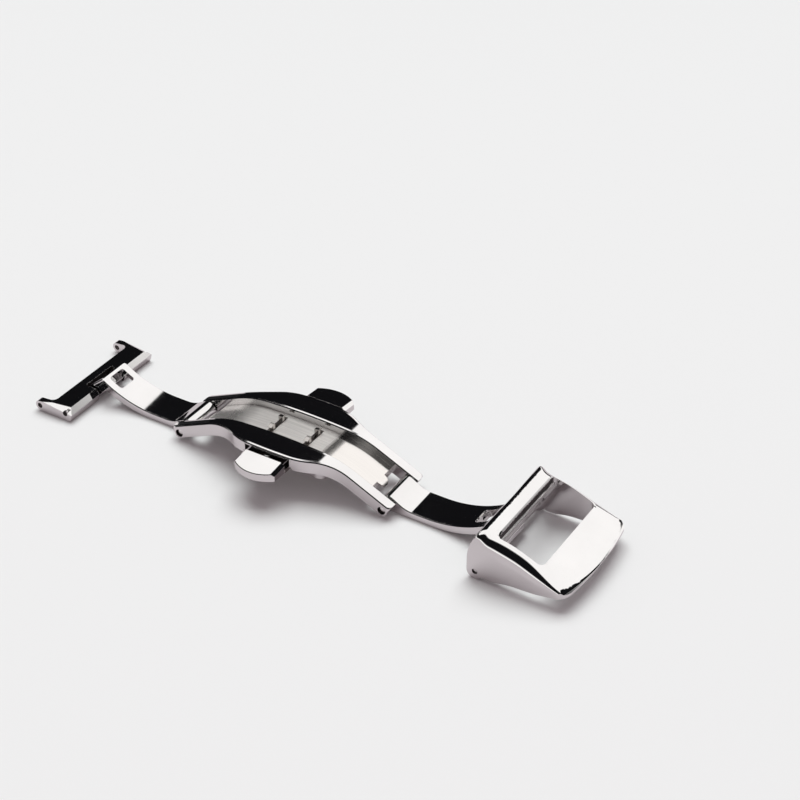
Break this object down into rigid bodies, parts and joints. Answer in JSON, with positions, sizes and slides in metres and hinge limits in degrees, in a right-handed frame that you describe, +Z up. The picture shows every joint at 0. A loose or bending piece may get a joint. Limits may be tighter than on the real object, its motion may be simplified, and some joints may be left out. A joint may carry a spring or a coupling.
{
  "type": "butterfly clasp",
  "caption": "Open butterfly clasp for a watch strap: arched frame with push buttons and latch hooks, folding blades, a strap end bar and a windowed buckle.",
  "frame": {"origin": "centre of the clasp's footprint on the table it lies on, open", "axes": "+X along the clasp from the strap end bar to the buckle, +Y from the front button to the rear one, +Z up from the table"},
  "size_m": [0.0928, 0.0236, 0.008],
  "materials": {
    "polished_steel": "mirror polished stainless steel",
    "brushed_steel": "stainless steel plate brushed across the clasp",
    "plate_steel": "stamped steel plate, as rolled",
    "pin_steel": "drawn steel pin and tube, lightly polished",
    "spring_wire": "drawn spring wire"
  },
  "bodies": {
    "frame": {"centre_frame": "polished_steel", "deck_plate": "brushed_steel", "base_cover": "brushed_steel", "cover_rivets": "pin_steel", "left_frame_pin": "pin_steel", "right_frame_pin": "pin_steel", "front_return_spring": "spring_wire", "rear_return_spring": "spring_wire"},
    "front_push_button": {"front_button": "polished_steel", "front_hook_slide": "plate_steel", "front_link_pin": "pin_steel"},
    "rear_push_button": {"rear_button": "polished_steel", "rear_hook_slide": "plate_steel", "rear_link_pin": "pin_steel"},
    "left_fold": {"left_blade": "polished_steel"},
    "right_fold": {"right_blade": "polished_steel"},
    "strap_end": {"strap_end_bar": "polished_steel", "strap_end_pin": "pin_steel"},
    "buckle": {"buckle_frame": "polished_steel", "hinge_bar_tube": "pin_steel", "hinge_bar_spring": "spring_wire", "strap_bar_tube": "pin_steel", "strap_bar_spring": "spring_wire"},
    "hinge_bar_front": {"hinge_bar_front_tip": "pin_steel"},
    "hinge_bar_rear": {"hinge_bar_rear_tip": "pin_steel"},
    "strap_bar_far": {"strap_bar_rod": "pin_steel"}
  },
  "joints": [
    {"name": "front_button_press", "type": "slide", "parent": "frame", "child": "front_push_button", "axis": [0, 1, 0], "range_m": [0, 0.0007], "stiffness_N_per_m": 800, "deforming": ["front_return_spring"]},
    {"name": "rear_button_press", "type": "slide", "parent": "frame", "child": "rear_push_button", "axis": [0, -1, 0], "range_m": [0, 0.0007], "stiffness_N_per_m": 800, "deforming": ["rear_return_spring"]},
    {"name": "left_blade_hinge", "type": "hinge", "parent": "frame", "child": "left_fold", "pos_m": [-0.02252, 0, 0.0013], "axis": [0, 1, 0], "range_deg": [0, 154.5]},
    {"name": "right_blade_hinge", "type": "hinge", "parent": "frame", "child": "right_fold", "pos_m": [0.01362, 0, 0.0013], "axis": [0, -1, 0], "range_deg": [0, 154.5]},
    {"name": "strap_end_hinge", "type": "hinge", "parent": "left_fold", "child": "strap_end", "pos_m": [-0.04057, 0, 0.0013], "axis": [0, -1, 0], "range_deg": [0, 154.5]},
    {"name": "buckle_hinge", "type": "hinge", "parent": "right_fold", "child": "buckle", "pos_m": [0.03166, 0, 0.0013], "axis": [0, 1, 0], "range_deg": [0, 154.5]},
    {"name": "hinge_bar_front_tip_slide", "type": "slide", "parent": "buckle", "child": "hinge_bar_front", "axis": [0, 1, 0], "range_m": [0, 0.001], "stiffness_N_per_m": 400, "deforming": ["hinge_bar_spring"]},
    {"name": "hinge_bar_rear_tip_slide", "type": "slide", "parent": "buckle", "child": "hinge_bar_rear", "axis": [0, -1, 0], "range_m": [0, 0.001], "stiffness_N_per_m": 400, "deforming": ["hinge_bar_spring"]},
    {"name": "strap_bar_rod_slide", "type": "slide", "parent": "buckle", "child": "strap_bar_far", "axis": [0, -1, 0], "range_m": [0, 0.0008], "stiffness_N_per_m": 400, "deforming": ["strap_bar_spring"]}
  ],
  "couplings": [
    {"joint": "strap_end_hinge", "follows": "left_blade_hinge", "ratio": 1},
    {"joint": "buckle_hinge", "follows": "right_blade_hinge", "ratio": 1}
  ]
}
